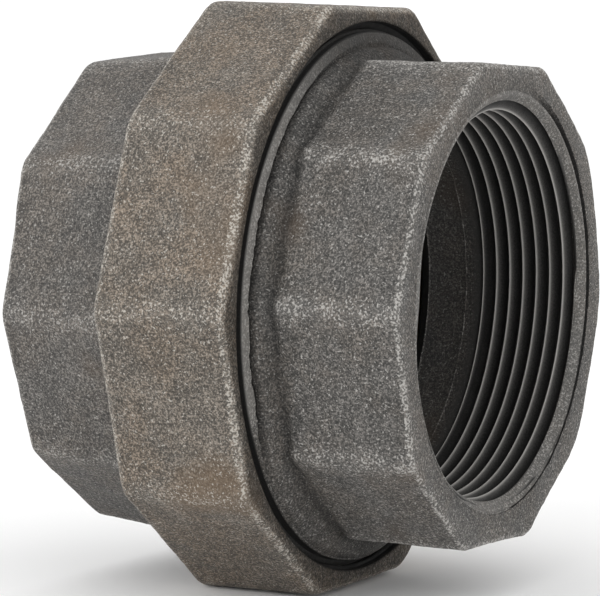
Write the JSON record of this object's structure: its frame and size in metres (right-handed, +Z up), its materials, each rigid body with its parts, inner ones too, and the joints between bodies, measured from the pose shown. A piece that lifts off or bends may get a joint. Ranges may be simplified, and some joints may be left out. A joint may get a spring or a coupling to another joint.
{
  "type": "pipe union",
  "caption": "Ground-joint pipe union: two ten-sided female-threaded iron bodies drawn together by a ten-sided union nut over a bronze seat.",
  "frame": {"origin": "on the pipe axis, at the middle of the length from end face to end face", "axes": "+X along the pipe axis towards the head piece; +Z up, square to the nut's top flat; the nut rests on its bottom flat"},
  "size_m": [0.0924, 0.1302, 0.1248],
  "materials": {
    "head_iron": "black sand-cast malleable iron, grey-black, slightly oily",
    "seat_bronze": "turned bronze",
    "tail_iron": "black sand-cast malleable iron, neutral to brown grey",
    "nut_iron": "black sand-cast malleable iron, warm brown-grey with faint rust tints"
  },
  "bodies": {
    "head": {"head_piece": "head_iron", "seat_ring": "seat_bronze"},
    "tail": {"tail_piece": "tail_iron"},
    "nut": {"union_nut": "nut_iron"}
  },
  "joints": [
    {"name": "tail_draw", "type": "slide", "parent": "head", "child": "tail", "axis": [-1, 0, 0], "range_m": [0, 0.01588]},
    {"name": "nut_turn", "type": "hinge", "parent": "tail", "child": "nut", "pos_m": [0, 0, 0], "axis": [-1, 0, 0], "range_deg": [0, 1800]}
  ],
  "couplings": [
    {"joint": "tail_draw", "follows": "nut_turn", "m_per_rad": 0.00050532}
  ]
}
